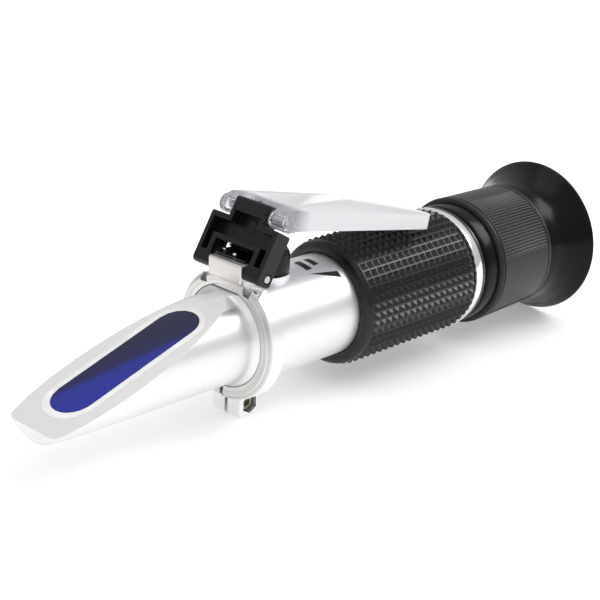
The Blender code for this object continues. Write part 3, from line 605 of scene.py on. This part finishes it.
def ribbed_ring():
    """Focus ring: ribs in patches between a smooth front band and a smooth rear rim."""
    angles = [0.5 * step for step in range(720)]
    front, rear = ((corner.x - DATUM.x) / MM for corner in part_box("focus_ring"))
    rim = rear - SPIGOT_LENGTH
    start, end = RIB_X
    # Station, radius, and 1 where the ribs cut in
    outside = [
        (front, RING_BORE, 0), (front, 15.75, 0), (front + 0.25, 16.1, 0), (front + 0.7, 16.25, 0),
        (front + 1.0, 16.25, 0), (front + 1.15, 15.95, 0), (front + 1.45, 15.95, 0),
        (front + 1.6, 16.2, 0), (start - 0.15, 16.2, 0), (start + 0.25, 16.19, 1),
        (end - 0.4, 15.78, 1), (end, 15.77, 0), (end + 0.1, 15.6, 0), (end + 0.3, 15.6, 0),
        (end + 0.42, 15.8, 0), (rim - 0.5, 15.75, 0), (rim - 0.12, 15.6, 0), (rim, 15.3, 0),
    ]
    spigot = [(rim, SPIGOT_RADIUS, 0), (rear, SPIGOT_RADIUS, 0), (rear, 13.0, 0), (93.5, 13.0, 0),
              (93.5, 11.2, 0), (91.9, 11.2, 0), (91.9, RING_BORE, 0)]
    form = bmesh.new()
    rings = []
    for station, radius, ribbed in outside + spigot:
        rings.append([form.verts.new(polar(station, radius - ribbed * rib_drop(angle), angle))
                      for angle in angles])
    for ring, after in zip(rings, rings[1:] + rings[:1]):
        bridge(form, ring, after)
    mesh = mesh_of(form, "ribbed_focus_ring", 40)
    plastic = moulded("focus_plastic", (0.013, 0.0145, 0.017), 0.40, 3e-6, 4500, 0.0, 0.35)
    return add_piece("ribbed_focus_ring", mesh, plastic, "focus_ring", "focus_ring")


def flared_eyecup():
    """Rubber eyecup that flares like a trumpet to a thin rounded rim."""
    low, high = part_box("eyecup")
    start, end = (low.x - DATUM.x) / MM, (high.x - DATUM.x) / MM
    radius = (high.y - low.y) / 2 / MM
    outside = smooth_line([
        (start, 15.4), (start + 1.3, 15.65), (start + 3.7, 16.1), (start + 6.2, 16.95),
        (start + 8.7, 18.1), (start + 11.0, 19.6)])
    rim = [(end - 0.55, radius - 0.08), (end - 0.25, radius), (end - 0.05, radius - 0.05),
           (end, radius - 0.25)]
    inside = smooth_line([
        (end - 0.1, radius - 0.5), (end - 0.9, 19.0), (end - 2.9, 17.0), (end - 5.3, 15.6),
        (end - 7.6, 14.85)])
    loop = outside + rim + inside + [(101.3, 14.5), (start, 14.5)]
    rubber = moulded("eyecup_rubber", (0.002, 0.002, 0.0025), 0.2, 1e-6, 2500, 0.0, 0.15)
    return turned_piece("flared_eyecup", loop, 144, rubber, "focus_ring", "eyecup",
                        sharp=45)


def slope_matrix(depth=0.0):
    """The prism face's axes: x up the slope, y across, z out of the face, lowered by a depth."""
    turn = Matrix.Rotation(-SLANT, 4, 'Y')
    foot = Vector((SLANT_FOOT[0], 0, SLANT_FOOT[1])) - turn.to_3x3() @ Vector((0, 0, depth))
    return HOME @ Matrix.Translation(foot * MM) @ turn


def window_outline(grow, tip=0.0):
    """The prism window's outline on the slope, grown by an offset."""
    front, rear = ((x - SLANT_FOOT[0]) / math.cos(SLANT) for x in WINDOW_X)
    half = WINDOW_HALF_WIDTH + grow
    return arc((front - tip, 0), half, 90, 270, 24) + arc((rear, 0), half, -90, 90, 24)


def nose():
    """Turned nose with its lapped slope and the recess for the prism."""
    shoulder, shoulder_radius = NOSE_SHOULDER
    tip, tip_radius = NOSE_TIP
    loop = [(6, 8.7), (6, 10.1), (shoulder, 10.1), NOSE_SHOULDER]
    loop += [(shoulder - 1.9 * t, shoulder_radius - 1.28 * (1 - (1 - t) ** 2))
             for t in (0.2, 0.4, 0.6, 0.8)]
    loop += [(-6.6, 10.44), (-45.0, 10.4), (-51, 10.24), NOSE_TIP]
    loop += [(tip - 1.4 * math.sin(a), tip_radius - 1.3 * (1 - math.cos(a)))
             for a in (0.4, 0.8, 1.2, 1.5)]
    loop += [(-56.8, 0), (-17, 0), (-17, 4.0), (-1, 4.0), (-1, 8.7)]
    metal = turned_metal("nose_metal", (0.84, 0.84, 0.845), 0.40)
    piece = turned_piece("turned_nose", loop, STEPS, metal, "instrument", "prism_housing")
    lapped = milled_metal("slope_metal", (0.90, 0.885, 0.88), 0.5, 0.2)
    level = Matrix.Identity(4)
    over = slab_mesh("over_slope", [(-8, -14), (58, -14), (58, 14), (-8, 14)], 30, level)
    recess = slab_mesh("recess", window_outline(RECESS_WIDTH, RECESS_TIP), 2.6, level)
    seat = slab_mesh("prism_seat", window_outline(0.3), 9.4, level)
    tools = [tool_of(over, slope_matrix(-15), lapped), tool_of(recess, slope_matrix(), lapped),
             tool_of(seat, slope_matrix(), lapped)]
    return applied(piece, tools)


def cement_bead():
    """White bead that fills the recess round the prism, slightly crowned."""
    form = bmesh.new()
    inner, outer = window_outline(0.02), window_outline(BEAD_WIDTH, RECESS_TIP)
    middle = [((a[0] + b[0]) / 2, (a[1] + b[1]) / 2) for a, b in zip(inner, outer)]
    rings = []
    section = ((inner, -1.1), (inner, 0.06), (middle, 0.13), (outer, 0.02), (outer, -1.1))
    for outline, height in section:
        rings.append([form.verts.new((x, y, height)) for x, y in outline])
    for ring, after in zip(rings, rings[1:] + rings[:1]):
        bridge(form, ring, after)
    mesh = mesh_of(form, "cement_bead", 50)
    cement = moulded("cement", (0.99, 0.99, 0.99), 0.4, 2e-6, 2500, 0.0, 0.5)
    return add_piece("cement_bead", mesh, cement, "instrument", "prism_cement",
                     slope_matrix())


def smooth_turnings():
    """Tube, end ring, eyepiece base and calibration cap, turned finely."""
    metal = turned_metal("tube_metal", (0.84, 0.845, 0.855), 0.40)
    tube = turned_piece("fine_tube", TUBE_LOOP, STEPS, metal, "instrument", "main_tube")
    stand = HOME @ Matrix.Translation((CAP_X * MM, 0, 0)) @ Matrix.Rotation(-math.pi / 2, 4, 'Y')
    applied(tube, [tool_of(turned_mesh("boss", BOSS_LOOP, 96), stand)], 'UNION')
    bright = turned_metal("ring_metal", (0.95, 0.95, 0.95), 0.14)
    turned_piece("fine_end_ring", END_RING_LOOP, STEPS, bright, "instrument", "end_ring")
    black = moulded("base_plastic", (0.002, 0.002, 0.0025), 0.22, 1e-6, 3000, 0.0, 0.14)
    turned_piece("fine_eyepiece_base", BASE_LOOP, STEPS, black,
                 "instrument", "eyepiece_base")
    (middle, radius), (length, height) = CAP_ROUND
    cap = [(12.7, 3.2), (12.7, 4.7), (12.8, 4.9), (13.0, 5.0)]
    cap += [(middle + length * math.sin(a), radius + height * math.cos(a))
            for a in (TAU * k / 48 for k in range(13))]
    cap += [(19.4, 0), (16.6, 0), (16.2, 2.8)]
    rubber = moulded("cap_rubber", (0.004, 0.004, 0.005), 0.36, 1e-5, 2200, 0.0, 0.25)
    turned_piece("fine_cap", cap, 96, rubber, "calibration_cap", "calibration_cap",
                 stand)


def collar_metal_painted_shade_and_highlight():
    """Satin aluminium with painted shade: darker over the collar's faced front and chamfer, with a
    painted highlight along the edge between them.
    """
    made = Finish("collar_metal_painted_shade_and_highlight", 0.24, metallic=1.0)
    painted_light_along = made.rescaled(made.coordinate("X"), (-4.5 * MM, -3.3 * MM))
    # Painted shade over the front face and chamfer, and a painted highlight on the edge between
    # them
    made.ramp(painted_light_along, (
        (0.0, (0.72, 0.70, 0.68)), (0.14, (0.70, 0.68, 0.66)), (0.18, (0.93, 0.92, 0.91)),
        (0.24, (0.56, 0.55, 0.54)), (0.70, (0.62, 0.61, 0.60)), (0.84, (0.90, 0.90, 0.90)),
    ))
    grain = made.noise((4000, 4000, 4000), 2.0)
    made.spread(grain, 0.34, 0.42)
    made.relief(grain, 4e-7, 0.1)
    return made.material


def collar():
    """Split collar with its hinge block, its lug and the seats cut for the frame's feet."""
    piece = turned_piece("split_collar", COLLAR_LOOP, 180, collar_metal_painted_shade_and_highlight(), "instrument",
                         "clamp_collar", sharp=15)
    closing = FRAME_LEAN - FRAME_CLOSED
    below = Matrix.Rotation(closing, 4, 'Y') @ Vector((-(RIM_OFFSET + FOOT_CLEARANCE), 0, 0))
    turn = Matrix.Rotation(closing + math.pi / 2, 4, 'Y')
    seat = HOME @ Matrix.Translation((Vector((PIN_X, 0, PIN_Z)) + below) * MM) @ turn
    tools = []
    for side in (-1, 1):
        outline = [(u, side * y) for u, y in FOOT_SEAT]
        tools.append(tool_of(slab_mesh("seat", outline, 8, Matrix.Translation((0, 0, 4))), seat))
        ys = sorted((side * 5.25, side * 12))
        tools.append(tool_of(rod_mesh("sweep", ys, SWEEP_RADIUS, PIN_X, PIN_Z, 64)))
    applied(piece, tools, sharp=15)
    added = [box_mesh("block", *HINGE_BLOCK, 0.55), box_mesh("lug", *LUG, 0.75)]
    applied(piece, [tool_of(mesh) for mesh in added], 'UNION', sharp=15)
    cuts = [box_mesh("split", *COLLAR_SPLIT),
            rod_mesh("screw_hole", (-6, 3.4), SCREW_HOLE, *SCREW_XZ),
            rod_mesh("head_pocket", (-6, -1.7), HEAD_POCKET, *SCREW_XZ, 6),
            rod_mesh("pin_hole", (-7, 7), PIN_HOLE, PIN_X, PIN_Z)]
    return applied(piece, [tool_of(mesh) for mesh in cuts], sharp=15)


def detent_leaf():
    """Spring leaf on the block, with its rear lip turned up behind the open frame."""
    mesh = slab_mesh("detent_leaf", LEAF_SIDE, LEAF_WIDTH, SIDE_PLANE)
    steel = milled_metal("spring_metal", (0.05, 0.05, 0.055), 0.35, 0.05)
    piece = add_piece("detent_leaf", mesh, steel, "instrument", "detent_spring")
    upright = Matrix.Rotation(math.pi / 2, 4, 'X')
    holes = [tool_of(rod_mesh("rivet_hole", (-1, 1), 0.7, 0, 0),
                     HOME @ Matrix.Translation(Vector((x, y, RIVET_Z)) * MM) @ upright)
             for x, y in RIVET_SPOTS]
    applied(piece, holes)
    return applied(piece, [tool_of(slab_mesh("lip", LIP_SIDE, LIP_WIDTH, SIDE_PLANE))], 'UNION')


def plate_matrix():
    """The daylight plate's axes: x along it, z out of its contact face, origin on its axle."""
    return Matrix.Translation(joint_place("plate_fold")) @ Matrix.Rotation(PLATE_DROOP, 4, 'Y')


def clear_plate():
    """Clear acrylic plate with its two knuckles and slightly rounded edges."""
    side = arc((0, 0), KNUCKLE_RADIUS, 96, 262, 22)
    side += [(3.0, -1.7), (PLATE_LENGTH - 0.3, -0.735), (PLATE_LENGTH, -0.435)]
    side += [(PLATE_LENGTH, PLATE_CONTACT - 0.3), (PLATE_LENGTH - 0.3, PLATE_CONTACT),
             (1.2, PLATE_CONTACT)]
    mesh = slab_mesh("clear_plate", side, 2 * PLATE_HALF_WIDTH, SIDE_PLANE)
    piece = add_piece("clear_plate", mesh, None, "daylight_plate", "daylight_plate",
                      plate_matrix())
    centre = (PLATE_LENGTH - PLATE_CORNER, PLATE_HALF_WIDTH - PLATE_CORNER)
    wide = PLATE_HALF_WIDTH + 3
    plan = [(-4, wide), (-4, KNUCKLE_GAP), (3.8, KNUCKLE_GAP), (3.8, -KNUCKLE_GAP),
            (-4, -KNUCKLE_GAP), (-4, -wide), (centre[0] - 3, -wide)]
    plan += arc((centre[0], -centre[1]), PLATE_CORNER, -90, 0, 8)
    plan += arc(centre, PLATE_CORNER, 0, 90, 8)
    plan += [(centre[0] - 3, wide)]
    keep = tool_of(slab_mesh("keep_plan", plan, 12, Matrix.Identity(4)), plate_matrix())
    applied(piece, [keep], 'INTERSECT')
    bores = [tool_of(rod_mesh("axle_bore", ys, 0.9, 0, 0), plate_matrix()) for ys in AXLE_BORES]
    applied(piece, bores, bevel=0.22)
    piece.data.materials.clear()
    piece.data.materials.append(plate_acrylic())
    return piece


def plate_acrylic():
    """Acrylic: clear at the knuckles and pale where the plate's faces catch the light."""
    made = Finish("plate_acrylic", 0.05)
    made.mottle((0.93, 0.925, 0.95), 0.006, (120, 120, 120))
    clarity = made.rescaled(made.coordinate("X"), (1.5 * MM, 6 * MM), (0.92, 0.30))
    made.link(clarity, made.shader.inputs["Transmission Weight"])
    ripple = made.noise((220, 220, 220), 2.0)
    made.spread(ripple, 0.03, 0.07)
    made.relief(ripple, 5e-7)
    made.shader.inputs["IOR"].default_value = 1.4
    return made.material


def printed_mark():
    """A generic printed mark on the tube just ahead of the grip: two plain bars and a wedge."""
    radius = (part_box("main_tube")[1].y - DATUM.y) / MM + MARK_LIFT
    form = bmesh.new()
    for corners, steps in MARK_SHAPES:
        outline = []
        for start, end in zip(corners, corners[1:] + corners[:1]):
            for step in range(steps):
                t = step / steps
                outline.append(tuple(a + (b - a) * t for a, b in zip(start, end)))
        lower = [form.verts.new(polar(x, radius, angle)) for x, angle in outline]
        upper = [form.verts.new(polar(x, radius + MARK_LIFT, angle)) for x, angle in outline]
        bridge(form, lower, upper)
        for loop in (lower, upper):
            edges = [form.edges.get(pair) for pair in zip(loop, loop[1:] + loop[:1])]
            bmesh.ops.triangle_fill(form, edges=edges, use_beauty=True)
    mesh = mesh_of(form, "printed_mark")
    ink = moulded("mark_ink", (0.012, 0.012, 0.012), 0.4, 1e-6, 4000, 0.0)
    return add_piece("printed_mark", mesh, ink, "instrument", None)


# ---------------------------------------------------------------- stage

def floor():
    """Plain white table, leaning a little so that it meets both the lug and the eyecup's rim."""
    lug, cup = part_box("clamp_collar"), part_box("eyecup")
    drop = lug[0].z - cup[0].z
    run = cup[1].x - (lug[1].x - LUG_MIDDLE * MM)
    form = bmesh.new()
    bmesh.ops.create_grid(form, x_segments=2, y_segments=2, size=2500)
    mesh = mesh_of(form, "table")
    made = Finish("table_white", 0.55)
    made.mottle((0.93, 0.93, 0.93), 0.004, (3, 3, 3))
    made.shader.inputs["Emission Color"].default_value = (1.0, 1.0, 1.0, 1.0)
    made.shader.inputs["Emission Strength"].default_value = 0.28
    mesh.materials.append(made.material)
    table = bpy.data.objects.new("table", mesh)
    bpy.context.scene.collection.objects.link(table)
    table.location = (cup[1].x, 0, cup[0].z - 0.05 * MM)
    table.rotation_euler = (0, math.atan2(drop, run), 0)


def soft_light(name, place, target, size, power):
    """A rectangular softbox aimed at a point."""
    light = bpy.data.lights.new(name, 'AREA')
    light.shape = 'RECTANGLE'
    light.size, light.size_y = size
    light.energy = power
    lamp = bpy.data.objects.new(name, light)
    bpy.context.scene.collection.objects.link(lamp)
    lamp.location = place
    lamp.rotation_euler = (Vector(target) - Vector(place)).to_track_quat('-Z', 'Y').to_euler()


def studio():
    """Pale surroundings, brighter overhead, with softboxes above, beside and behind."""
    world = bpy.data.worlds.new("studio")
    world.use_nodes = True
    nodes, links = world.node_tree.nodes, world.node_tree.links
    place = nodes.new("ShaderNodeTexCoord")
    split = nodes.new("ShaderNodeSeparateXYZ")
    ramp = nodes.new("ShaderNodeValToRGB")
    ramp.color_ramp.elements[0].position = 0.0
    ramp.color_ramp.elements[0].color = (0.66, 0.66, 0.68, 1)
    ramp.color_ramp.elements[1].position = 0.6
    ramp.color_ramp.elements[1].color = (1.0, 1.0, 1.0, 1)
    links.new(place.outputs["Generated"], split.inputs["Vector"])
    links.new(split.outputs["Z"], ramp.inputs["Fac"])
    links.new(ramp.outputs["Color"], nodes["Background"].inputs["Color"])
    nodes["Background"].inputs["Strength"].default_value = 0.72
    bpy.context.scene.world = world
    soft_light("overhead", (0.05, 0.10, 0.75), (0.0, 0, 0.02), (0.6, 0.45), 0.7)
    soft_light("side", (-0.55, -0.35, 0.55), (-0.02, 0, 0.02), (0.5, 0.5), 0.3)
    soft_light("rear", (0.60, -0.28, 0.56), (0.02, 0, 0.02), (0.45, 0.42), 3.1)


def camera():
    """The view from ahead, to the left and a little above."""
    eye = bpy.data.cameras.new("camera")
    eye.sensor_width = 36.0
    eye.lens = CAMERA_LENS
    eye.clip_start, eye.clip_end = 0.01, 20
    holder = bpy.data.objects.new("camera", eye)
    bpy.context.scene.collection.objects.link(holder)
    turn = Matrix(CAMERA_AXES).transposed().to_4x4()
    holder.matrix_world = Matrix.Translation(DATUM + Vector(CAMERA_PLACE) * MM) @ turn
    bpy.context.scene.camera = holder


camera()
floor()
studio()
paint_fixed_metal()
paint_fixed_rest()
nose()
cement_bead()
collar()
detent_leaf()
smooth_turnings()
studded_grip()
ribbed_ring()
flared_eyecup()
clear_plate()
printed_mark()
bpy.context.scene.view_settings.view_transform = 'Standard'
